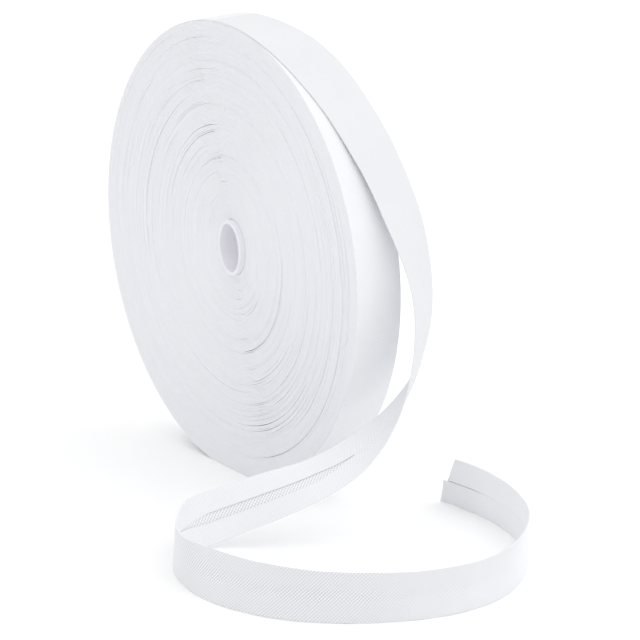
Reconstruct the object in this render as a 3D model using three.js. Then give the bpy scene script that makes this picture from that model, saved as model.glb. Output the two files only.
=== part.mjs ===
// A roll of folded bias tape, standing on its rim, with its loose end curled on the surface beside it.
// Millimetres, +Z up. The roll's axis runs along Y and its best seen face looks towards -Y.
// The origin is the middle of the small flat spot on which the roll rests.
import * as THREE from "three";
import { mergeVertices } from "three/addons/utils/BufferGeometryUtils.js";

// Tape: a 40 mm strip cut on the bias, both edges folded to the middle
const TAPE_WIDTH = 20;
const TAPE_THICKNESS = 1;
const SEAM_HALF_GAP = 1.8;
const SEAM_DEPTH = 0.3;
const CLEARANCE = 0.3;

// Roll
const ROLL_RADIUS = 91.4;
const AXIS_HEIGHT = 90.2;
const END_STEP = TAPE_THICKNESS + CLEARANCE;
const TAKE_OFF_ANGLE = 98;
const STEP_SLOPE_ANGLE = 0.25;
const COLUMN_ANGLE = 3;
const AXIS = new THREE.Vector3(0, 0, AXIS_HEIGHT);

// Core: an oval paper tube, a little off the roll's centre and pushed out towards -Y
const CORE_HALF_HEIGHT = 11.1;
const CORE_HALF_WIDTH = 8.2;
const CORE_WALL = 1.5;
const CORE_TILT = 7;
const CORE_OFFSET_X = 2.4;
const CORE_OFFSET_Z = 1.8;
const CORE_PROUD = 2;
const CORE_SIDES = 56;
const CORE_EDGE = 0.3;

// How far the turns stand out of each face (+) or lie back in it (-), from the hole to the rim
const FACE_BANDS = [
  { radius: 15, front: -0.3, back: 0.2 },
  { radius: 21, front: 0.1, back: 0.1 },
  { radius: 36.5, front: 0.3, back: -0.1 },
  { radius: 37.5, front: -0.2, back: 0.2 },
  { radius: 56.5, front: 0.2, back: 0.3 },
  { radius: 57.5, front: -0.1, back: -0.1 },
  { radius: 74.5, front: 0.3, back: 0.1 },
  { radius: 75.5, front: -0.2, back: -0.2 },
  { radius: 82, front: 0.1, back: 0.2 },
  { radius: 83, front: -0.3, back: 0 },
  { radius: 89, front: 0.1, back: 0.1 },
];

// Route of the loose end. Each row pulls a smooth curve, the middle of the tape, towards x, y, z.
// toX, toY, toZ is the way across the tape, from its near edge to its far edge.
const ROUTE = [
  // it slides sideways off the rim and hangs beside the roll, turning edge on
  { x: 41, y: 1, z: 176, toX: -0.1, toY: 1, toZ: 0.35 },
  { x: 67, y: 7, z: 156, toX: -0.15, toY: 1, toZ: 0.2 },
  { x: 88, y: 12, z: 125, toX: -0.15, toY: 1, toZ: 0.05 },
  { x: 98, y: 17, z: 95, toX: -0.8, toY: 1, toZ: -0.15 },
  { x: 106, y: 9, z: 63, toX: -0.9, toY: 1, toZ: 0.1 },
  // it sweeps down in front of the rim and turns over
  { x: 97, y: -12, z: 32, toX: -1, toY: 0.2, toZ: 0.3 },
  { x: 94, y: -41, z: 24, toX: -1, toY: -0.2, toZ: 0.6 },
  { x: 71, y: -66, z: 10, toX: -0.5, toY: -0.15, toZ: 1 },
  // it doubles back in a tight bend
  { x: 78, y: -85, z: 10, toX: 0.1, toY: 0.1, toZ: 1 },
  { x: 100, y: -99, z: 10, toX: 0.25, toY: -0.15, toZ: 1 },
  // it stands on its edge and curls round to the cut end
  { x: 119, y: -101, z: 10, toX: -0.2, toY: 0.1, toZ: 1 },
  { x: 147, y: -96, z: 10, toX: -0.15, toY: 0.2, toZ: 1 },
  { x: 172, y: -79, z: 10, toX: -0.1, toY: 0.1, toZ: 1 },
  { x: 188, y: -54, z: 10, toX: 0.1, toY: -0.05, toZ: 1 },
  { x: 194, y: -22, z: 10, toX: 0.1, toY: 0, toZ: 1 },
  { x: 178, y: 8, z: 10, toX: 0.05, toY: 0.05, toZ: 1 },
  { x: 152, y: 31, z: 10, toX: 0, toY: 0, toZ: 1 },
  { x: 117, y: 42, z: 10, toX: 0.1, toY: -0.05, toZ: 1 },
  { x: 77, y: 38, z: 10, toX: 0.1, toY: -0.05, toZ: 1 },
  { x: 49, y: 24, z: 10, toX: 0.1, toY: -0.05, toZ: 1 },
];
const RIM_ROW_ANGLE = 18;
const LOOSE_SECTIONS = 120;
const CUT_SLANT = 9;
const CUT_REACH = 40;

const radians = THREE.MathUtils.degToRad;

// A smooth curve drawn towards its points: a uniform cubic B-spline
class DrawnCurve extends THREE.Curve {
  constructor(points) {
    super();
    this.points = points;
    this.arcLengthDivisions = 400;
  }

  getPoint(t, target = new THREE.Vector3()) {
    const spans = this.points.length - 3;
    const span = Math.min(Math.floor(t * spans), spans - 1);
    const s = t * spans - span;
    const weights = [
      (1 - s) ** 3,
      3 * s ** 3 - 6 * s ** 2 + 4,
      3 * s + 3 * s ** 2 - 3 * s ** 3 + 1,
      s ** 3,
    ];
    target.set(0, 0, 0);
    weights.forEach((weight, k) => target.addScaledVector(this.points[span + k], weight / 6));
    return target;
  }
}

// Closed loops of points, one after another, joined into a skin. The last loop joins the first
// when ring is true, and otherwise the two end loops are closed with flat caps.
function skin(loops, ring) {
  const count = loops[0].length;
  const positions = loops.flat().flatMap((point) => point.toArray());
  const indices = [];
  const lastLoop = ring ? loops.length : loops.length - 1;
  for (let i = 0; i < lastLoop; i++) {
    const next = (i + 1) % loops.length;
    for (let j = 0; j < count; j++) {
      const k = (j + 1) % count;
      const a = i * count + j;
      const b = i * count + k;
      const c = next * count + k;
      const d = next * count + j;
      indices.push(a, b, c, a, c, d);
    }
  }
  if (!ring) {
    const end = (loops.length - 1) * count;
    for (let j = 1; j < count - 1; j++) {
      indices.push(0, j + 1, j);
      indices.push(end, end + j, end + j + 1);
    }
  }
  const geometry = new THREE.BufferGeometry();
  geometry.setAttribute("position", new THREE.Float32BufferAttribute(positions, 3));
  geometry.setIndex(indices);
  geometry.computeVertexNormals();
  return geometry;
}

function onCircle(radius, angle) {
  return new THREE.Vector3(radius * Math.cos(radians(angle)), 0, radius * Math.sin(radians(angle)));
}

// The rim follows the tape's last turn, so it is one step lower just before the take-off,
// and it is pressed flat where the roll rests.
function rimRadius(angle) {
  const turned = THREE.MathUtils.euclideanModulo(angle - TAKE_OFF_ANGLE, 360) / 360;
  const spiral = ROLL_RADIUS - END_STEP * turned;
  const down = -Math.sin(radians(angle));
  return down > 0 ? Math.min(spiral, AXIS_HEIGHT / down) : spiral;
}

// Columns all round, with extra ones at the step and at the two ends of the flat spot
function columnAngles() {
  const angles = [TAKE_OFF_ANGLE - STEP_SLOPE_ANGLE];
  for (let turned = 0; turned < 360 - COLUMN_ANGLE / 2; turned += COLUMN_ANGLE) {
    angles.push(TAKE_OFF_ANGLE + turned);
  }
  const turnedAtFloor = (270 - TAKE_OFF_ANGLE) / 360;
  const radiusAtFloor = ROLL_RADIUS - END_STEP * turnedAtFloor;
  const flatAngle = THREE.MathUtils.radToDeg(Math.acos(AXIS_HEIGHT / radiusAtFloor));
  angles.push(270 - flatAngle, 270 + flatAngle);
  return angles.sort((a, b) => a - b);
}

// Radius of an upright oval at an angle, tilted with the core
function ovalRadius(halfWidth, halfHeight, angle) {
  const a = radians(angle - CORE_TILT);
  return 1 / Math.hypot(Math.cos(a) / halfWidth, Math.sin(a) / halfHeight);
}

// One loop of a face: the hole's oval at its first radius, growing into circles towards the rim
function faceLoop(angles, radius, y) {
  const holeWidth = CORE_HALF_WIDTH + CLEARANCE;
  const holeHeight = CORE_HALF_HEIGHT + CLEARANCE;
  const grown = (radius - holeHeight) / (ROLL_RADIUS - holeHeight);
  return angles.map((angle) => {
    const oval = ovalRadius(holeWidth, holeHeight, angle) - holeHeight;
    const point = onCircle(radius + oval * (1 - grown) ** 3, angle);
    point.x += CORE_OFFSET_X * (1 - grown);
    point.z += CORE_OFFSET_Z * (1 - grown);
    point.y = y;
    return point.add(AXIS);
  });
}

function rimLoop(angles, y) {
  return angles.map((angle) => onCircle(rimRadius(angle), angle).setY(y).add(AXIS));
}

function woundRoll() {
  const angles = columnAngles();
  const half = TAPE_WIDTH / 2;
  const hole = CORE_HALF_HEIGHT + CLEARANCE;
  const front = FACE_BANDS.map((band) => faceLoop(angles, band.radius, -half - band.front));
  const back = FACE_BANDS.map((band) => faceLoop(angles, band.radius, half + band.back));
  const loops = [
    faceLoop(angles, hole, half),
    ...back,
    rimLoop(angles, half),
    rimLoop(angles, -half),
    ...front.reverse(),
    faceLoop(angles, hole, -half),
  ];
  return skin(loops, true);
}

// The oval tube: a closed wall profile turned about Y, then narrowed in its wall and its hole
function coreTube() {
  const front = -TAPE_WIDTH / 2 - CORE_PROUD;
  const back = front + TAPE_WIDTH;
  const outer = CORE_HALF_HEIGHT;
  const inner = CORE_HALF_HEIGHT - CORE_WALL;
  const profile = [
    new THREE.Vector2(inner, front),
    new THREE.Vector2(outer - CORE_EDGE, front),
    new THREE.Vector2(outer, front + CORE_EDGE),
    new THREE.Vector2(outer, back - CORE_EDGE),
    new THREE.Vector2(outer - CORE_EDGE, back),
    new THREE.Vector2(inner, back),
    new THREE.Vector2(inner, front),
  ];
  const geometry = new THREE.LatheGeometry(profile, CORE_SIDES);
  const position = geometry.getAttribute("position");
  const narrowing = CORE_HALF_HEIGHT - CORE_HALF_WIDTH;
  for (let i = 0; i < position.count; i++) {
    const radius = Math.hypot(position.getX(i), position.getZ(i));
    position.setX(i, (position.getX(i) * (radius - narrowing)) / radius);
  }
  geometry.deleteAttribute("normal");
  geometry.deleteAttribute("uv");
  const tube = mergeVertices(geometry);
  tube.computeVertexNormals();
  return tube;
}

// The tape's section, flat outside and with the seam between its two folded edges inside.
// across runs from the near edge to the far edge, and out points away from the roll.
function tapeOutline() {
  const half = TAPE_WIDTH / 2;
  const out = TAPE_THICKNESS / 2;
  const groove = SEAM_DEPTH - out;
  return [
    { across: half, out },
    { across: -half, out },
    { across: -half, out: -out },
    { across: -SEAM_HALF_GAP - SEAM_DEPTH, out: -out },
    { across: -SEAM_HALF_GAP, out: groove },
    { across: SEAM_HALF_GAP, out: groove },
    { across: SEAM_HALF_GAP + SEAM_DEPTH, out: -out },
    { across: half, out: -out },
  ];
}

function looseEnd() {
  // The curve runs inside its points, so the three rows on the rim are pulled out by as much
  const middleRadius = ROLL_RADIUS - TAPE_THICKNESS / 2;
  const pull = 6 / (4 + 2 * Math.cos(radians(RIM_ROW_ANGLE)));
  const rimRows = [1, 0, -1].map((k) => TAKE_OFF_ANGLE + k * RIM_ROW_ANGLE);
  const middle = new DrawnCurve([
    ...rimRows.map((angle) => onCircle(middleRadius * pull, angle).add(AXIS)),
    ...ROUTE.map((row) => new THREE.Vector3(row.x, row.y, row.z)),
  ]);
  const acrossWay = new DrawnCurve([
    ...rimRows.map(() => new THREE.Vector3(0, 1, 0)),
    ...ROUTE.map((row) => new THREE.Vector3(row.toX, row.toY, row.toZ).normalize()),
  ]);
  const length = middle.getLength();
  const start = ROLL_RADIUS * radians(STEP_SLOPE_ANGLE) + CLEARANCE;

  // One point of the tape's skin. Near the cut the far edge falls short of the near edge.
  const place = (distance, corner) => {
    const cut = Math.max(0, 1 - (length - distance) / CUT_REACH);
    const short = cut * CUT_SLANT * (0.5 + corner.across / TAPE_WIDTH);
    const t = middle.getUtoTmapping(0, distance - short);
    const point = middle.getPoint(t);
    const forward = middle.getTangent(t);
    const across = acrossWay.getPoint(t);
    across.addScaledVector(forward, -across.dot(forward)).normalize();
    const out = new THREE.Vector3().crossVectors(forward, across);
    return point.addScaledVector(across, corner.across).addScaledVector(out, corner.out);
  };

  const outline = tapeOutline();
  const loops = [];
  for (let i = 0; i <= LOOSE_SECTIONS; i++) {
    const distance = start + ((length - start) * i) / LOOSE_SECTIONS;
    loops.push(outline.map((corner) => place(distance, corner)));
  }
  // The surface carries the lower edge
  for (const point of loops.flat()) point.z = Math.max(point.z, 0);
  return skin(loops, false);
}

const cotton = new THREE.MeshStandardMaterial({ color: 0xf2f3f6, roughness: 0.92, metalness: 0 });
const looseCotton = new THREE.MeshStandardMaterial({ color: 0xeef0f4, roughness: 0.92, metalness: 0 });
const paper = new THREE.MeshStandardMaterial({ color: 0xd8d4d8, roughness: 0.8, metalness: 0 });

const roll = new THREE.Mesh(woundRoll(), cotton);
roll.name = "wound_roll";

const core = new THREE.Mesh(coreTube(), paper);
core.name = "core_tube";
core.rotation.y = -radians(CORE_TILT);
core.position.set(CORE_OFFSET_X, 0, AXIS_HEIGHT + CORE_OFFSET_Z);

const loose = new THREE.Mesh(looseEnd(), looseCotton);
loose.name = "loose_end";

const part = new THREE.Group();
part.add(roll, core, loose);

export default part;
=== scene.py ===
import math

import bpy
import numpy as np
from mathutils import Euler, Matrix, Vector


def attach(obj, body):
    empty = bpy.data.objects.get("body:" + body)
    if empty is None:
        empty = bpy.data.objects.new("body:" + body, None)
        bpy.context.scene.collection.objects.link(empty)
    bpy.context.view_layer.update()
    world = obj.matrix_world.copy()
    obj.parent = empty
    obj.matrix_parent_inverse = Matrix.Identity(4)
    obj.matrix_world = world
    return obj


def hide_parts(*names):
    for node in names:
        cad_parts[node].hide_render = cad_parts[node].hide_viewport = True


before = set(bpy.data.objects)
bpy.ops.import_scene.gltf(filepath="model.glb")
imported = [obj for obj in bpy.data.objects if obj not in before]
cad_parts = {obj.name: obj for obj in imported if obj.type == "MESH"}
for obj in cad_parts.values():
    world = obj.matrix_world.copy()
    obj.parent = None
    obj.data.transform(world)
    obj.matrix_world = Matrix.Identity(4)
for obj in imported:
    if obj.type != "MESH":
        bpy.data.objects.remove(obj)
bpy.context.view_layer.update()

# Tape: a 40 mm strip cut on the bias, both edges folded to the middle and pressed
TAPE_WIDTH = 0.020
CLOTH = 0.00022
FOLD_RADIUS = 0.00025
TAPE_THICKNESS = 2 * FOLD_RADIUS
SEAM_HALF_GAP = 0.0018
TAKE_OFF_OUT = 0.0005
# Added to the distance over the cloth on its inner skin, which shows where the cut edges part
INNER_SKIN = 0.1

# Roll
ROLL_RADIUS = 0.0914
AXIS_HEIGHT = 0.0902
AXIS = np.array((0.0, 0.0, AXIS_HEIGHT))
TAKE_OFF_ANGLE = math.radians(98)
TURNS = 158
COLUMNS = 120
TURN_THICKNESS = 0.00046
LEAST_SLACK = 0.00001
LAST_SLACK = 0.00003
LAST_TURN_SECTIONS = 240

# Core: an oval paper tube, a little off the roll's centre and pushed out towards -Y
CORE_HALF_HEIGHT = 0.0111
CORE_HALF_WIDTH = 0.0082
CORE_WALL = 0.0015
CORE_TILT = math.radians(7)
CORE_OFFSET = np.array((0.0024, 0.0, 0.0018))
CORE_PROUD = 0.002
HOLE_CLEARANCE = 0.0003
HOLE_HALF_HEIGHT = CORE_HALF_HEIGHT + HOLE_CLEARANCE
HOLE_HALF_WIDTH = CORE_HALF_WIDTH + HOLE_CLEARANCE

# How far the turns stand out of each face (+) or lie back in it (-), from the hole to the rim
FACE_BANDS = [
    # radius, front, back
    (0.0150, -0.0003, 0.0002),
    (0.0210, 0.0001, 0.0001),
    (0.0365, 0.0003, -0.0001),
    (0.0375, -0.0002, 0.0002),
    (0.0565, 0.0002, 0.0003),
    (0.0575, -0.0001, -0.0001),
    (0.0745, 0.0003, 0.0001),
    (0.0755, -0.0002, -0.0002),
    (0.0820, 0.0001, 0.0002),
    (0.0830, -0.0003, 0.0000),
    (0.0890, 0.0001, 0.0001),
]

# How far the turns are pressed in on the loose end's side, by their height over the hole
SIDE_PRESS = [
    # height as a share of the rim's, how far
    (0.00, 0.0000),
    (0.20, 0.0028),
    (0.36, 0.0040),
    (0.60, 0.0035),
    (0.83, 0.0026),
    (0.92, 0.0016),
    (1.00, 0.0000),
]
SIDE_PRESS_ANGLE = math.radians(12)
SIDE_PRESS_REACH = math.radians(95)

# Arcs of the face where a turn stands a little off the turn under it
LOOSE_ARCS = [
    # from and to in degrees, radius halfway, gap
    (276, 378, 0.0400, 0.00034),
    (300, 410, 0.0753, 0.00025),
    (270, 440, 0.0821, 0.00022),
    (300, 360, 0.0590, 0.00022),
    (285, 330, 0.0533, 0.00020),
    (270, 330, 0.0705, 0.00025),
    (292, 325, 0.0736, 0.00016),
    (290, 320, 0.0275, 0.00016),
    (0, 65, 0.0682, 0.00020),
    (0, 50, 0.0770, 0.00014),
    (0, 50, 0.0838, 0.00016),
    (0, 30, 0.0860, 0.00014),
    (97, 130, 0.0374, 0.00009),
    (100, 175, 0.0468, 0.00025),
    (100, 140, 0.0498, 0.00016),
    (110, 140, 0.0590, 0.00009),
    (113, 205, 0.0630, 0.00025),
    (115, 160, 0.0894, 0.00014),
    (117, 155, 0.0428, 0.00016),
    (125, 160, 0.0685, 0.00016),
    (125, 150, 0.0700, 0.00014),
    (160, 195, 0.0347, 0.00016),
]

# Route of the loose end. Each row pulls a smooth curve, the middle of the tape, towards x, y, z.
# The last three numbers are the way across the tape, from its near edge to its far edge.
ROUTE = [
    # it slides sideways off the rim and hangs beside the roll, turning edge on
    (0.041, 0.001, 0.176, -0.1, 1.0, 0.35),
    (0.067, 0.007, 0.156, -0.15, 1.0, 0.2),
    (0.088, 0.012, 0.125, -0.15, 1.0, 0.05),
    (0.098, 0.017, 0.095, -0.8, 1.0, -0.15),
    (0.106, 0.009, 0.063, -0.9, 1.0, 0.1),
    # it sweeps down in front of the rim and turns over
    (0.097, -0.012, 0.032, -1.0, 0.2, 0.3),
    (0.094, -0.041, 0.024, -1.0, -0.2, 0.6),
    (0.071, -0.066, 0.010, -0.5, -0.15, 1.0),
    # it doubles back in a tight bend
    (0.078, -0.085, 0.010, 0.1, 0.1, 1.0),
    (0.100, -0.099, 0.010, 0.25, -0.15, 1.0),
    # it stands on its edge and curls round to the cut end
    (0.119, -0.101, 0.010, -0.2, 0.1, 1.0),
    (0.147, -0.096, 0.010, -0.15, 0.2, 1.0),
    (0.172, -0.079, 0.010, -0.1, 0.1, 1.0),
    (0.188, -0.054, 0.010, 0.1, -0.05, 1.0),
    (0.194, -0.022, 0.010, 0.1, 0.0, 1.0),
    (0.178, 0.008, 0.010, 0.05, 0.05, 1.0),
    (0.152, 0.031, 0.010, 0.0, 0.0, 1.0),
    (0.117, 0.042, 0.010, 0.1, -0.05, 1.0),
    (0.077, 0.038, 0.010, 0.1, -0.05, 1.0),
    (0.049, 0.024, 0.010, 0.1, -0.05, 1.0),
]
RIM_ROW_ANGLE = math.radians(18)
RIM_ROW_RADIUS = ROLL_RADIUS - TAKE_OFF_OUT
LOOSE_SECTIONS = 420
ROUTE_SAMPLES = 6001
# How far the cut slants back, the length of cloth that follows it, and the share of the slant that
# the lower flap leaves out
CUT_SLANT = 0.009
CUT_REACH = 0.040
LOWER_FLAP_LESS = 0.35
# The edge's unevenness leaves out what is nearer to the tape's middle than this
EDGE_FROM = 0.0019
# Where along the loose end its unevenness starts, and how much further on it is full
FREE_FROM = 0.01
FREE_OVER = 0.05

# Camera: the roll seen from its right-hand front, a little from above
VIEW_AZIMUTH = math.radians(57.4)
VIEW_ELEVATION = math.radians(16.95)
VIEW_DISTANCE = 3.0
VIEW_LENS = 429.6
# With the roll's centre straight ahead, the way from the camera to the picture's middle: right, up
# and back, in pixels of a 640 x 640 picture
VIEW_SIDESTEP = Vector((68.7, -73.8, -7638))

# Faces that meet at less than this are shaded as one smooth surface
SMOOTH_CLOTH = math.radians(62)
SMOOTH_TUBE = math.radians(50)

chance = np.random.default_rng(159)


def deselect_all():
    bpy.ops.object.select_all(action="DESELECT")


def smooth(s):
    """From 0 to 1 with soft ends"""
    s = np.clip(s, 0, 1)
    return s * s * (3 - 2 * s)


def unit(vectors):
    return vectors / np.linalg.norm(vectors, axis=-1, keepdims=True)


def make_camera():
    flat = math.cos(VIEW_ELEVATION)
    side = (math.sin(VIEW_AZIMUTH) * flat, -math.cos(VIEW_AZIMUTH) * flat, math.sin(VIEW_ELEVATION))
    level = Euler((math.pi / 2 - VIEW_ELEVATION, 0, VIEW_AZIMUTH)).to_quaternion()
    turn = level @ Vector((0, 0, -1)).rotation_difference(VIEW_SIDESTEP)
    place = Vector(AXIS) + Vector(side) * VIEW_DISTANCE
    bpy.ops.object.camera_add(location=place, rotation=turn.to_euler())
    camera = bpy.context.object
    camera.name = "camera"
    camera.data.lens = VIEW_LENS
    camera.data.sensor_width = 36
    camera.data.clip_start = 0.1
    camera.data.clip_end = 50
    bpy.context.scene.camera = camera


# Cloth: a strip of tape as one closed skin

def strip(name, loops, along, across, caps):
    """A mesh through closed loops of points. loops is (sections, corners, 3). along is the distance
    of each corner along the tape. across is its distance over the cloth, with one more at the end
    for the corner where a loop closes. caps lists the corners of the faces that close the ends."""
    sections, corners = loops.shape[:2]
    number = np.arange(sections * corners).reshape(sections, corners)
    following = np.roll(number, -1, axis=1)
    walls = np.stack((number[:-1], following[:-1], following[1:], number[1:]), axis=-1)
    quads = walls.reshape(-1, 4)
    start = np.array(caps)[:, ::-1]
    end = np.array(caps) + (sections - 1) * corners
    faces = np.concatenate((quads, start, end))

    width = np.broadcast_to(across, (sections, corners + 1))
    length = np.concatenate((along, along[:, :1]), axis=1)
    uv = np.stack((length, width), axis=-1)
    around = (uv[:-1, :-1], uv[:-1, 1:], uv[1:, 1:], uv[1:, :-1])
    wall_uv = np.stack(around, axis=2).reshape(-1, 2)
    corner_uv = uv[:, :-1].reshape(-1, 2)
    cap_uv = corner_uv[np.concatenate((start, end)).ravel()]

    mesh = bpy.data.meshes.new(name)
    mesh.from_pydata(loops.reshape(-1, 3).tolist(), [], faces.tolist())
    layer = mesh.uv_layers.new(name="tape")
    layer.uv.foreach_set("vector", np.concatenate((wall_uv, cap_uv)).astype(np.float32).ravel())
    mesh.validate()
    piece = bpy.data.objects.new(name, mesh)
    bpy.context.scene.collection.objects.link(piece)
    deselect_all()
    piece.select_set(True)
    bpy.context.view_layer.objects.active = piece
    bpy.ops.object.shade_smooth_by_angle(angle=SMOOTH_CLOTH)
    return piece


# Rows of points across each flap, the half width and the rows of the flat between the folds, and
# how far from each fold another row holds the flat straight
FLAP_ROWS = (0.0022, 0.0040, 0.0070)
FLAT_HALF = 0.0085
FLAT_ROWS = 13
FOLD_SUPPORT = 0.0003


def folded_section():
    """The folded tape's section as its cloth lies: (across, out) of the cloth's outer and inner
    skins, and the distance over the cloth. across runs from the near edge to the far edge, out
    points away from the roll, and the tape is TAPE_THICKNESS deep with out 0 at the flaps. Also
    the faces that close the ends."""
    bend = TAPE_WIDTH / 2 - FOLD_RADIUS
    middle = FOLD_RADIUS - CLOTH / 2
    support = bend - FOLD_SUPPORT
    flap = [SEAM_HALF_GAP, *FLAP_ROWS, support, bend]
    base = np.concatenate(([-support], np.linspace(-FLAT_HALF, FLAT_HALF, FLAT_ROWS), [support]))
    centre, normal = [], []
    for across in flap:
        centre.append((-across, FOLD_RADIUS - middle))
        normal.append((0, -1))
    for angle in np.radians((225, 180, 135, 90)):
        way = (math.cos(angle), math.sin(angle))
        centre.append((-bend + middle * way[0], FOLD_RADIUS + middle * way[1]))
        normal.append(way)
    for across in base:
        centre.append((across, FOLD_RADIUS + middle))
        normal.append((0, 1))
    for angle in np.radians((90, 45, 0, -45)):
        way = (math.cos(angle), math.sin(angle))
        centre.append((bend + middle * way[0], FOLD_RADIUS + middle * way[1]))
        normal.append(way)
    for across in reversed(flap):
        centre.append((across, FOLD_RADIUS - middle))
        normal.append((0, -1))
    centre, normal = np.array(centre), np.array(normal)
    over = np.concatenate(([0], np.cumsum(np.hypot(*np.diff(centre, axis=0).T))))
    over -= over[-1] / 2
    outer = centre + normal * CLOTH / 2
    inner = centre - normal * CLOTH / 2
    section = np.concatenate((outer, inner[::-1]))
    distance_over = np.concatenate((over, over[::-1] + INNER_SKIN, over[:1]))
    count = len(centre)
    last = 2 * count - 1
    caps = [(i, i + 1, last - i - 1, last - i) for i in range(count - 1)]
    return section, distance_over, caps


# Loose end

def curve_weights(t, spans, slope=False):
    """The first control point of each span and the four weights of a uniform cubic B-spline"""
    span = np.minimum(np.floor(t * spans).astype(int), spans - 1)
    s = t * spans - span
    if slope:
        weights = (-3 * (1 - s) ** 2, 9 * s**2 - 12 * s, 3 + 6 * s - 9 * s**2, 3 * s**2)
    else:
        weights = ((1 - s) ** 3, 3 * s**3 - 6 * s**2 + 4, 3 * s + 3 * s**2 - 3 * s**3 + 1, s**3)
    return span, np.stack(weights, axis=-1) / 6


def on_curve(points, t, slope=False):
    span, weights = curve_weights(t, len(points) - 3, slope)
    near = points[span[..., None] + np.arange(4)]
    return (near * weights[..., None]).sum(axis=-2)


def on_circle(radius, angle):
    return np.array((radius * math.cos(angle), 0.0, radius * math.sin(angle)))


def soft_wave(distance, waves):
    """The sum of a table's slow waves"""
    total = 0
    for length, height, shift in waves:
        total = total + height * np.sin(2 * math.pi * (distance / length + shift))
    return total


# Unevenness of the loose end's edges across it, and out of it
EDGE_WAVES = [
    # length, height, shift
    (0.071, 0.00012, 0.1),
    (0.033, 0.00008, 0.4),
    (0.013, 0.00004, 0.7),
]
BOW_WAVES = [
    # length, height, shift
    (0.120, 0.00025, 0.2),
    (0.047, 0.00012, 0.9),
]

# Half the gap between the two cut edges, which meet at the middle of the tape's inner side. They
# part before the tight bend, and a little at the cut end.
SEAM_OPENS = [
    # distance from the take-off, half gap
    (0.000, 0.00002),
    (0.226, 0.00002),
    (0.242, 0.0018),
    (0.288, 0.0018),
    (0.305, 0.00002),
    (0.580, 0.00002),
    (0.610, 0.0003),
]
# The flaps give way only nearer to the tape's middle than this
FLAP_STRETCH_END = 0.004

# Soft lengthwise creases: a slight trough where the cut edges meet inside, a bulge where the tape
# turns over, and a hollow where it stands on its edge in front
CREASES = [
    # from, to, middle across the tape, half width, depth (+ out, - in)
    (0.000, 0.640, 0.0000, 0.0016, -0.00010),
    (0.150, 0.235, 0.0000, 0.0105, 0.00150),
    (0.310, 0.500, -0.0005, 0.0105, -0.00160),
]
# Length over which a crease fades in and out, and the half width from which it is a wide one
CREASE_FADE = 0.03
WIDE_CREASE = 0.005


def crease_depth(distance, across):
    """How far the creases bring the cloth out. A wide one has straight sides, a narrow one is round."""
    total = np.zeros(np.broadcast(distance, across).shape)
    for start, end, middle, half, depth in CREASES:
        fade = smooth(np.minimum(distance - start, end - distance) / CREASE_FADE)
        side = np.clip(1 - abs(across - middle) / half, 0, 1)
        if half < WIDE_CREASE:
            side = smooth(side)
        total += depth * fade * side
    return total


def make_loose_end():
    """The free end as one folded strip along ROUTE, and its length"""
    # The rows round a circle lie outside it, so that the curve itself follows it
    pull = 6 / (4 + 2 * math.cos(RIM_ROW_ANGLE))
    rim_angles = [TAKE_OFF_ANGLE + k * RIM_ROW_ANGLE for k in (1, 0, -1)]
    rim_rows = [on_circle(RIM_ROW_RADIUS * pull, angle) + AXIS for angle in rim_angles]
    rows = np.array(ROUTE)
    middle = np.concatenate((rim_rows, rows[:, :3]))
    ways = np.concatenate((np.tile((0.0, 1.0, 0.0), (3, 1)), unit(rows[:, 3:])))

    fine = np.linspace(0, 1, ROUTE_SAMPLES)
    steps = np.linalg.norm(np.diff(on_curve(middle, fine), axis=0), axis=1)
    travelled = np.concatenate(([0], np.cumsum(steps)))
    length = travelled[-1]

    section, over, caps = folded_section()
    across, out = section[:, 0], section[:, 1]
    distance = np.linspace(0, length, LOOSE_SECTIONS + 1)[:, None]
    cut = np.clip(1 - (length - distance) / CUT_REACH, 0, 1)
    short = cut * CUT_SLANT * (0.5 + across / TAPE_WIDTH)
    lower_flap = (across < -SEAM_HALF_GAP / 2) & (out < FOLD_RADIUS)
    place = distance - short * (1 - LOWER_FLAP_LESS * lower_flap)
    flap = (out < FOLD_RADIUS) & (abs(across) < FLAP_STRETCH_END)
    half_gap = np.interp(place, *np.array(SEAM_OPENS).T)
    stretch = (FLAP_STRETCH_END - half_gap) / (FLAP_STRETCH_END - SEAM_HALF_GAP)
    moved = np.sign(across) * (FLAP_STRETCH_END - (FLAP_STRETCH_END - abs(across)) * stretch)
    across = np.where(flap, moved, across + np.zeros(place.shape))
    t = np.interp(place, travelled, fine)

    points = on_curve(middle, t)
    forward = unit(on_curve(middle, t, slope=True))
    sideways = on_curve(ways, t)
    sideways = unit(sideways - (sideways * forward).sum(axis=-1, keepdims=True) * forward)
    outward = np.cross(forward, sideways)

    free = np.clip((place - FREE_FROM) / FREE_OVER, 0, 1)
    edge_shift = free * soft_wave(place, EDGE_WAVES) * np.sign(across)
    bow = free * soft_wave(place, BOW_WAVES) * (2 * abs(across) / TAPE_WIDTH) ** 2
    side = across + edge_shift * (abs(across) > EDGE_FROM)
    rise = out + bow + free * crease_depth(place, across)
    loops = points + sideways * side[..., None] + outward * rise[..., None]
    loops[..., 2] = np.maximum(loops[..., 2], 0)
    piece = strip("loose_tape", loops, place, over, caps)
    return piece, length


# Wound turns

def slow_noise(count, step, carry):
    """Numbers that drift from one to the next, with a knot every few steps and each knot keeping
    a share of the one before it"""
    knots = count // step + 2
    values = np.zeros(knots)
    for i in range(1, knots):
        values[i] = carry * values[i - 1] + math.sqrt(1 - carry**2) * chance.normal()
    at = np.arange(count + 1) / step
    first = at.astype(int)
    s = smooth(at - first)
    return values[first] * (1 - s) + values[first + 1] * s


# Slight loose arcs: where they lie on the face, and how long they are
SMALL_ARCS = 130
LOWER_RIGHT_SHARE = 0.62
# middle and its spread, least and most half length, in degrees
LOWER_RIGHT = (325, 34, 12, 42)
UPPER_LEFT = (143, 24, 10, 28)
ARC_RADII = (0.016, 0.089)
ARC_GAPS = (0.00004, 0.00013)


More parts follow.
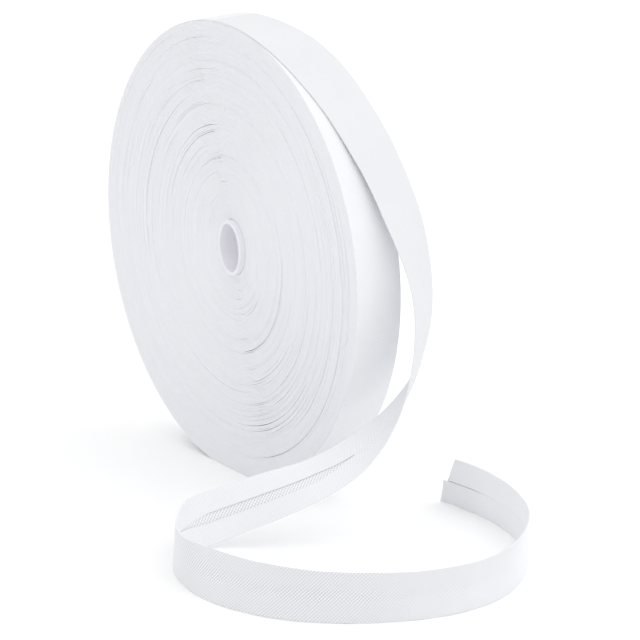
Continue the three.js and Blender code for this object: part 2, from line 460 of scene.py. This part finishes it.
def small_arcs():
    """Many slight loose arcs, most of them at the lower right and the others at the upper left"""
    arcs = []
    for i in range(SMALL_ARCS):
        place = LOWER_RIGHT if chance.random() < LOWER_RIGHT_SHARE else UPPER_LEFT
        middle = chance.normal(place[0], place[1])
        half = chance.uniform(place[2], place[3])
        radius = chance.uniform(*ARC_RADII)
        arcs.append((middle - half, middle + half, radius, chance.uniform(*ARC_GAPS)))
    return arcs


# An arc's gap fades over this share of its half length. The turns beside it stand out of the best
# seen face by a share of the gap, and each next turn keeps a share of that.
ARC_FADE = 0.4
STAND_OUT = 0.9
STAND_OUT_KEPT = 0.6
# Turns at the core and at the rim that have no arcs
FIRST_TIGHT_TURNS = 1.2
LAST_TIGHT_TURNS = 1.5
# Share of the gap round the tube that the first turn fills
FIRST_TURN_FILL = 0.7


def wind():
    """The tape from the core to the take-off, COLUMNS steps to a turn: the height of its outer face
    over the hole, its thickness, how far it stands out of the face, and its turn"""
    steps = TURNS * COLUMNS
    turn = np.arange(steps + 1) / COLUMNS
    slack = np.full(steps + 1, LEAST_SLACK)
    proud = np.zeros(steps + 1)
    for start, end, radius, gap in LOOSE_ARCS + small_arcs():
        halfway = (start + end) / 2
        first = (math.degrees(TAKE_OFF_ANGLE) - halfway) % 360 / 360
        tried = first + np.arange(TURNS - 1)
        reach = (tried + 1) / TURNS * (ROLL_RADIUS - HOLE_HALF_HEIGHT)
        angles = np.full(TURNS - 1, math.radians(halfway))
        placed = np.linalg.norm(to_place(reach, angles, np.zeros(TURNS - 1)) - AXIS, axis=-1)
        since = turn - tried[np.argmin(abs(placed - radius))]
        later = np.round(since)
        aside = abs(since - later) * 2 * 360 / (end - start)
        fades = smooth((1 - aside) / ARC_FADE)
        slack += gap * fades * (later == 0)
        # On the right the turns inside the arc stand out, on the left those outside it
        beyond = -1 - later if math.cos(math.radians(halfway)) > 0 else later
        kept = (beyond >= 0) * STAND_OUT_KEPT ** np.maximum(beyond, 0)
        proud += STAND_OUT * gap * fades * kept
    slack *= smooth(turn - FIRST_TIGHT_TURNS) * smooth(TURNS - LAST_TIGHT_TURNS - turn)
    slack += LAST_SLACK * smooth(turn - TURNS + 1)
    height = np.zeros(steps + 1)
    height[:COLUMNS] = TURN_THICKNESS * (1 + turn[:COLUMNS])
    for k in range(1, TURNS + 1):
        now = np.arange(k * COLUMNS, min((k + 1) * COLUMNS, steps + 1))
        height[now] = height[now - COLUMNS] + TURN_THICKNESS + slack[now]

    # Each direction is scaled alike, so that the last turn follows the roll's rim
    last = height[-COLUMNS - 1 :]
    step = last[-1] - last[0]
    reference = last - step * np.arange(COLUMNS + 1) / COLUMNS
    column = np.arange(steps + 1) % COLUMNS
    scale = (ROLL_RADIUS - step - HOLE_HALF_HEIGHT) / reference[column]
    thickness = TURN_THICKNESS * scale
    height = height * scale
    # The first turn fills most of the gap round the tube
    thickness[:COLUMNS] = height[:COLUMNS] + FIRST_TURN_FILL * HOLE_CLEARANCE
    return height, thickness, proud, turn


def rim_radius(turned):
    """The last turn's outer radius, turned from 0 at its start to 1 at the take-off"""
    return ROLL_RADIUS - (LAST_SLACK + TURN_THICKNESS) * (1 - turned)


# Powers by which the flat spot fades towards the core, and the core's oval towards the rim
FLAT_FADE = 6
OVAL_FADE = 3


def to_place(height, angle, y):
    """A point of the roll by its height over the hole, its angle and its place along the axis"""
    turned = 1 - np.mod(angle - TAKE_OFF_ANGLE, 2 * math.pi) / (2 * math.pi)
    rim = rim_radius(turned)
    down = np.maximum(-np.sin(angle), 1e-6)
    pressed = np.minimum(rim, AXIS_HEIGHT / down)
    reach = ROLL_RADIUS - HOLE_HALF_HEIGHT
    share = height / (rim - HOLE_HALF_HEIGHT)
    height = height - (rim - pressed) * np.clip(share, 0, 1) ** FLAT_FADE
    centred = np.maximum(1 - height / reach, 0)
    tilted = angle - CORE_TILT
    oval = 1 / np.hypot(np.cos(tilted) / HOLE_HALF_WIDTH, np.sin(tilted) / HOLE_HALF_HEIGHT)
    radius = HOLE_HALF_HEIGHT + height + (oval - HOLE_HALF_HEIGHT) * centred**OVAL_FADE
    aside = abs(np.mod(angle - SIDE_PRESS_ANGLE + math.pi, 2 * math.pi) - math.pi)
    shares, presses = np.array(SIDE_PRESS).T
    radius = radius - np.interp(share, shares, presses) * smooth(1 - aside / SIDE_PRESS_REACH)
    point = np.stack((radius * np.cos(angle), y, radius * np.sin(angle)), axis=-1)
    return point + AXIS + CORE_OFFSET * centred[..., None]


# Section of a wound turn, whose folded edges are rounded
EDGE_ROUNDING = 0.00012
TURN_SECTION = [
    # depth from the outer face (0) to the inner face (1), side, distance from the edge
    (1.00, -1, EDGE_ROUNDING),
    (0.72, -1, 0),
    (0.28, -1, 0),
    (0.00, -1, EDGE_ROUNDING),
    (0.00, 1, EDGE_ROUNDING),
    (0.28, 1, 0),
    (0.72, 1, 0),
    (1.00, 1, EDGE_ROUNDING),
]
TURN_CAPS = [(0, 1, 6, 7), (1, 2, 5, 6), (2, 3, 4, 5)]
# Distance over the cloth of each row of the section, and of the first once more
TURN_ACROSS = np.array((-0.0106, -0.0103, -0.0101, -0.0098, 0.0098, 0.0101, 0.0103, 0.0106, 0.0310))
# Added to the distance along the tape for each turn left out before it, so that the outer turns
# don't repeat the tones of the inner ones
TONE_STEP = 0.31


def make_turns(name, first, last, height, thickness, shift):
    """The tape from one turn to another, its folded edges rounded, as one strip"""
    now = np.arange(first * COLUMNS, last * COLUMNS + 1)
    angle = TAKE_OFF_ANGLE + 2 * math.pi * (TURNS - now / COLUMNS)
    radius = HOLE_HALF_HEIGHT + height[now]
    bands = np.array(FACE_BANDS)
    front = np.interp(radius, bands[:, 0], bands[:, 1])
    back = np.interp(radius, bands[:, 0], bands[:, 2])
    loops = []
    for depth, side, inset in TURN_SECTION:
        proud = front - shift[now] if side < 0 else back + shift[now]
        y = side * (TAPE_WIDTH / 2 - inset + proud)
        loops.append(to_place(height[now] - depth * thickness[now], angle, y))
    loops = np.stack(loops, axis=1)
    middle = loops.mean(axis=1)
    walked = np.concatenate(([0], np.cumsum(np.linalg.norm(np.diff(middle, axis=0), axis=1))))
    along = np.repeat((walked + first * TONE_STEP)[:, None], len(TURN_SECTION), axis=1)
    return strip(name, loops, along, TURN_ACROSS, TURN_CAPS)


def make_last_turn():
    """The outermost turn, with its cloth folded as it is, up to the take-off"""
    section, over, caps = folded_section()
    across, out = section[:, 0], section[:, 1]
    turned = np.linspace(0, 1, LAST_TURN_SECTIONS + 1)[:, None]
    angle = TAKE_OFF_ANGLE + 2 * math.pi * (1 - turned)
    outer = rim_radius(turned) - HOLE_HALF_HEIGHT
    deep = outer - TAPE_THICKNESS + out
    y = np.broadcast_to(across, deep.shape)
    loops = to_place(deep, np.broadcast_to(angle, deep.shape), y)
    along = (turned - 1) * 2 * math.pi * ROLL_RADIUS + np.zeros(deep.shape)
    return strip("last_turn", loops, along, over, caps)


# Core tube

TUBE_SIDES = 96
TUBE_EDGE = 0.0004


def make_core():
    deselect_all()
    bpy.ops.mesh.primitive_cylinder_add(
        vertices=TUBE_SIDES, radius=CORE_HALF_HEIGHT, depth=TAPE_WIDTH, end_fill_type="NOTHING",
        location=(CORE_OFFSET[0], -CORE_PROUD, AXIS_HEIGHT + CORE_OFFSET[2]),
        rotation=(math.pi / 2, 0, 0),
    )
    tube = bpy.context.object
    tube.name = "board_tube"
    bpy.ops.object.transform_apply(location=False, rotation=True, scale=False)
    tube.scale = (CORE_HALF_WIDTH / CORE_HALF_HEIGHT, 1, 1)
    tube.rotation_euler = (0, -CORE_TILT, 0)
    bpy.ops.object.transform_apply(location=True, rotation=True, scale=True)
    bpy.ops.object.mode_set(mode="EDIT")
    bpy.ops.mesh.select_all(action="SELECT")
    bpy.ops.mesh.normals_make_consistent(inside=False)
    bpy.ops.object.mode_set(mode="OBJECT")
    wall = tube.modifiers.new("wall", "SOLIDIFY")
    wall.thickness = CORE_WALL
    wall.offset = -1
    bpy.ops.object.modifier_apply(modifier="wall")
    rounding = tube.modifiers.new("worn edge", "BEVEL")
    rounding.width = TUBE_EDGE
    rounding.segments = 3
    rounding.limit_method = "ANGLE"
    bpy.ops.object.modifier_apply(modifier="worn edge")
    bpy.ops.object.shade_smooth_by_angle(angle=SMOOTH_TUBE)
    return tube


# Materials

class Finish:
    """One material: its shader and the nodes that lead to it"""

    def __init__(self, name, roughness):
        self.material = bpy.data.materials.new(name)
        self.material.use_nodes = True
        self.nodes = self.material.node_tree.nodes
        self.links = self.material.node_tree.links
        self.shader = self.nodes["Principled BSDF"]
        self.set("Roughness", roughness)

    def set(self, socket, value):
        self.shader.inputs[socket].default_value = value

    def add(self, kind, settings=(), **inputs):
        node = self.nodes.new(kind)
        for name, value in dict(settings).items():
            setattr(node, name, value)
        for name, value in inputs.items():
            self.join(value, node.inputs[name.replace("_", " ")])
        return node

    def join(self, value, socket):
        if isinstance(value, bpy.types.NodeSocket):
            self.links.new(value, socket)
        else:
            socket.default_value = value

    def math(self, operation, first, second=0.0):
        node = self.nodes.new("ShaderNodeMath")
        node.operation = operation
        self.join(first, node.inputs[0])
        self.join(second, node.inputs[1])
        return node.outputs[0]

    def plus(self, first, second):
        return self.math("ADD", first, second)

    def minus(self, first, second):
        return self.math("SUBTRACT", first, second)

    def times(self, first, second):
        return self.math("MULTIPLY", first, second)

    def cloud(self, place, scale, detail):
        """Soft noise between 0 and 1"""
        return self.add("ShaderNodeTexNoise", Vector=place, Scale=scale, Detail=detail).outputs[0]

    def on_tape(self):
        """The distance along the tape and over its cloth, together and apart"""
        place = self.add("ShaderNodeUVMap", {"uv_map": "tape"}).outputs[0]
        apart = self.add("ShaderNodeSeparateXYZ", Vector=place)
        return place, apart.outputs[0], apart.outputs[1]

    def ridge(self, coordinate, pitch):
        """A wave from 0 to 1, a crest every pitch"""
        wave = self.math("COSINE", self.times(coordinate, 2 * math.pi / pitch))
        return self.plus(self.times(wave, 0.5), 0.5)

    def tint(self, factor, low, high):
        """The shader's colour, between low and high"""
        node = self.nodes.new("ShaderNodeMix")
        node.data_type = "RGBA"
        self.join(factor, node.inputs[0])
        node.inputs[6].default_value = (*low, 1)
        node.inputs[7].default_value = (*high, 1)
        self.links.new(node.outputs[2], self.shader.inputs["Base Color"])

    def fade(self, value, low, high):
        """0 where value is low, 1 where it is high, soft between them"""
        node = self.nodes.new("ShaderNodeMapRange")
        node.interpolation_type = "SMOOTHSTEP"
        rising = low < high
        self.join(value, node.inputs[0])
        self.join(min(low, high), node.inputs[1])
        self.join(max(low, high), node.inputs[2])
        self.join(0.0 if rising else 1.0, node.inputs[3])
        self.join(1.0 if rising else 0.0, node.inputs[4])
        return node.outputs[0]

    def along_table(self, along, table):
        """The two values that a table gives for a distance along the tape"""
        node = self.nodes.new("ShaderNodeValToRGB")
        node.color_ramp.interpolation = "EASE"
        stops = node.color_ramp.elements
        while len(stops) < len(table):
            stops.new(1.0)
        for stop, (distance, first, second) in zip(stops, table):
            stop.position = distance / WEAVE_REACH
            stop.color = (first, second, 0, 1)
        self.join(self.times(along, 1 / WEAVE_REACH), node.inputs[0])
        apart = self.add("ShaderNodeSeparateColor", Color=node.outputs[0])
        return apart.outputs[0], apart.outputs[1]

    def bump(self, height, distance):
        node = self.nodes.new("ShaderNodeBump")
        node.inputs["Strength"].default_value = 1.0
        node.inputs["Distance"].default_value = distance
        self.links.new(height, node.inputs["Height"])
        self.links.new(node.outputs[0], self.shader.inputs["Normal"])


# Tones of the cotton: deep between its ribs, bright on them, and of the folded edges
DEEP_WHITE = (0.500, 0.509, 0.527)
BRIGHT_WHITE = (0.920, 0.932, 0.957)
EDGE_LOW_WHITE = (0.802, 0.810, 0.842)
EDGE_HIGH_WHITE = (0.880, 0.888, 0.921)
BOARD_LOW = (0.765, 0.760, 0.800)
BOARD_HIGH = (0.860, 0.855, 0.900)
FLOOR_LOW = (0.975, 0.975, 0.975)
FLOOR_HIGH = (0.985, 0.985, 0.985)

# How the cloth of the loose end shows along it, with light and shade painted into its tone, and how the
# rim shows
WEAVE_REACH = 0.62
WEAVE = [
    # distance from the take-off, how strongly the ribs show, tone with painted shade and painted light
    (0.000, 0.10, 0.53),
    (0.160, 0.14, 0.47),
    (0.225, 0.30, 0.68),
    (0.290, 0.30, 0.72),
    (0.312, 0.12, 0.76),
    (0.345, 0.85, 0.55),
    (0.410, 0.75, 0.43),
    (0.450, 0.30, 0.49),
    (0.480, 0.10, 0.53),
    (0.530, 0.10, 0.78),
    (0.575, 0.10, 0.74),
    (0.608, 0.14, 0.56),
]
RIM_WEAVE = [
    # distance from the take-off, how strongly the ribs show, tone
    (0.0, 0.22, 0.68),
    (WEAVE_REACH, 0.22, 0.68),
]

# Pitch of the threads that show as ribs and of those that cross them, and how strong each is
RIB_PITCH = 0.00100
CROSS_PITCH = 0.00105
RIB_SHARE = 0.72
CROSS_SHARE = 0.28
EDGE_THREAD_PITCH = 0.00070
SLUB_DRIFT = 0.0003
# The ribs show in patches, and more along the tape's middle, between these distances over the cloth
PATCH_LIFT = 1.1
MIDDLE_LIFT = 0.45
MIDDLE_OUTER = 0.0042
MIDDLE_INNER = 0.0012
# The cloth inside the open seam: its ribs, how much painted shade deepens its tone in the seam's
# recess, and a painted shadow line under the cut edge on each side of it, by the distance from the
# tape's middle
INSIDE_RIBS = 0.75
PAINTED_SEAM_SHADE = 0.10
PAINTED_FLAP_EDGE_SHADE = 0.15
LINE_FROM = 0.0011
LINE_TO = 0.0018
CLOUD_LIFT = 0.10
# Relief
FLAT_RIBS = 0.15
WEAVE_RELIEF = 0.00006
EDGE_RELIEF = 0.00004
BOARD_RELIEF = 0.00008


def bias_cotton(name, table):
    """White plain-weave cotton cut on the bias, so its threads run slantwise over the tape.
    table says how strongly its ribs show along the tape, and its tone, into which the loose end's table
    paints light and shade."""
    cotton = Finish(name, 0.9)
    plus, minus, times = cotton.plus, cotton.minus, cotton.times
    cotton.set("Specular IOR Level", 0.25)
    cotton.set("Sheen Weight", 0.15)
    cotton.set("Sheen Roughness", 0.6)
    place, along, over = cotton.on_tape()
    inside = cotton.math("GREATER_THAN", over, INNER_SKIN / 2)
    across = times(over, minus(1.0, times(inside, 2.0)))
    rising = times(plus(along, across), math.sqrt(0.5))
    falling = times(minus(along, across), math.sqrt(0.5))
    drift = times(minus(cotton.cloud(place, scale=900.0, detail=3.0), 0.5), SLUB_DRIFT)
    ribs = cotton.ridge(plus(falling, drift), RIB_PITCH)
    crosses = cotton.ridge(plus(rising, drift), CROSS_PITCH)
    weave = plus(times(ribs, RIB_SHARE), times(crosses, CROSS_SHARE))

    patches = cotton.cloud(place, scale=28.0, detail=2.0)
    middle = cotton.fade(cotton.math("ABSOLUTE", over), MIDDLE_OUTER, MIDDLE_INNER)
    lift = plus(times(patches, PATCH_LIFT), times(middle, MIDDLE_LIFT))
    # The table's tone: along the loose end it carries painted light and painted shade
    shows, cloth_tone_and_painted_light = cotton.along_table(along, table)
    strength = cotton.math("MAXIMUM", times(shows, lift), times(inside, INSIDE_RIBS))

    tone = plus(cloth_tone_and_painted_light, times(cotton.cloud(place, scale=45.0, detail=4.0), CLOUD_LIFT))
    # Painted shade: the cloth inside the open seam is darkened
    tone = minus(tone, times(inside, PAINTED_SEAM_SHADE))
    tone = plus(tone, times(minus(weave, 0.5), strength))
    # Painted shadow: a dark line beside each cut edge of the open seam
    beside = cotton.math("ABSOLUTE", minus(over, INNER_SKIN))
    flap_edge_shade = times(cotton.fade(beside, LINE_FROM, LINE_TO), inside)
    tone = minus(tone, times(flap_edge_shade, PAINTED_FLAP_EDGE_SHADE))
    cotton.tint(tone, DEEP_WHITE, BRIGHT_WHITE)
    cotton.bump(times(weave, plus(strength, FLAT_RIBS)), WEAVE_RELIEF)
    return cotton.material


def edge_cotton(name):
    """The folded edges of the wound turns: each stretch of tape has its own slight tone"""
    cotton = Finish(name, 0.92)
    cotton.set("Specular IOR Level", 0.2)
    cotton.set("Sheen Weight", 0.1)
    cotton.set("Sheen Roughness", 0.6)
    place, along, over = cotton.on_tape()
    by_length = {"noise_dimensions": "1D"}
    stretch = cotton.add("ShaderNodeTexNoise", by_length, W=along, Scale=14.0, Detail=3.0).outputs[0]
    knots = cotton.cloud(place, scale=1500.0, detail=2.0)
    tone = cotton.plus(cotton.times(stretch, 0.6), cotton.times(knots, 0.4))
    cotton.tint(tone, EDGE_LOW_WHITE, EDGE_HIGH_WHITE)
    cotton.bump(cotton.ridge(cotton.plus(along, over), EDGE_THREAD_PITCH), EDGE_RELIEF)
    return cotton.material


def tube_board(name):
    """Pinkish grey board with a fine fibre"""
    board = Finish(name, 0.8)
    board.set("Specular IOR Level", 0.3)
    place = board.add("ShaderNodeTexCoord").outputs["Object"]
    fibre = board.cloud(place, scale=2200.0, detail=4.0)
    stain = board.cloud(place, scale=220.0, detail=2.0)
    tone = board.plus(board.times(fibre, 0.6), board.times(stain, 0.4))
    board.tint(tone, BOARD_LOW, BOARD_HIGH)
    board.bump(fibre, BOARD_RELIEF)
    return board.material


def pale_floor():
    floor = Finish("matt white floor", 0.9)
    floor.set("Specular IOR Level", 0.1)
    place = floor.add("ShaderNodeTexCoord").outputs["Object"]
    floor.tint(floor.cloud(place, scale=3.0, detail=2.0), FLOOR_LOW, FLOOR_HIGH)
    return floor.material


# Studio: soft white light all round, brighter from above and a little from the loose end's side,
# and a wide, weak sun from the right and above
SKY_BRIGHTNESS = 0.82
SKY_LEAN = (0.14, 0.02, 0.42)
SUN_PLACE = (0.5, 0.6, 0.75)
SUN_WIDTH = math.radians(60)
SUN_STRENGTH = 0.30


def make_studio():
    deselect_all()
    bpy.ops.mesh.primitive_plane_add(size=30, location=(0, 0, 0))
    floor = bpy.context.object
    floor.name = "floor"
    floor.data.materials.append(pale_floor())

    world = bpy.data.worlds.new("white studio")
    world.use_nodes = True
    nodes, links = world.node_tree.nodes, world.node_tree.links
    way = nodes.new("ShaderNodeTexCoord").outputs["Generated"]
    lean = nodes.new("ShaderNodeVectorMath")
    lean.operation = "DOT_PRODUCT"
    lean.inputs[1].default_value = SKY_LEAN
    links.new(way, lean.inputs[0])
    brightness = nodes.new("ShaderNodeMath")
    links.new(lean.outputs["Value"], brightness.inputs[0])
    brightness.inputs[1].default_value = SKY_BRIGHTNESS
    links.new(brightness.outputs[0], nodes["Background"].inputs["Strength"])
    nodes["Background"].inputs["Color"].default_value = (1.0, 1.0, 1.0, 1)
    bpy.context.scene.world = world

    bpy.ops.object.light_add(type="SUN", location=SUN_PLACE)
    key = bpy.context.object
    key.name = "key light"
    key.data.angle = SUN_WIDTH
    key.data.energy = SUN_STRENGTH
    key.rotation_euler = Vector(SUN_PLACE).to_track_quat("Z", "Y").to_euler()
    bpy.context.scene.view_settings.view_transform = "Standard"


# Unevenness of the wound turns along the axis: how far, steps between its knots, and the share that
# each knot keeps of the one before it. The outermost turns lie even, after a few that fade.
SHIFT = 0.00004
SHIFT_STEP = 47
SHIFT_KEPT = 0.6
FADING_TURNS = 4

make_camera()
loose, loose_length = make_loose_end()
height, thickness, proud, turn = wind()
shift = SHIFT * slow_noise(TURNS * COLUMNS, SHIFT_STEP, SHIFT_KEPT) - proud
shift *= smooth((TURNS - 1 - turn) / FADING_TURNS)
half_way = TURNS // 2
inner_turns = make_turns("inner_turns", 0, half_way, height, thickness, shift)
outer_turns = make_turns("outer_turns", half_way, TURNS - 1, height, thickness, shift)
last_turn = make_last_turn()
core = make_core()

loose_cotton = bias_cotton("loose bias-cut cotton", WEAVE)
rim_cotton = bias_cotton("wound bias-cut cotton", RIM_WEAVE)
edges = edge_cotton("folded cotton edges")
board = tube_board("tube board")
finishes = [
    (loose, loose_cotton),
    (last_turn, rim_cotton),
    (inner_turns, edges),
    (outer_turns, edges),
    (core, board),
]
for piece, finish in finishes:
    piece.data.materials.clear()
    piece.data.materials.append(finish)
    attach(piece, "root")

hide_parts("wound_roll")
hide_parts("loose_end")
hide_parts("core_tube")

make_studio()
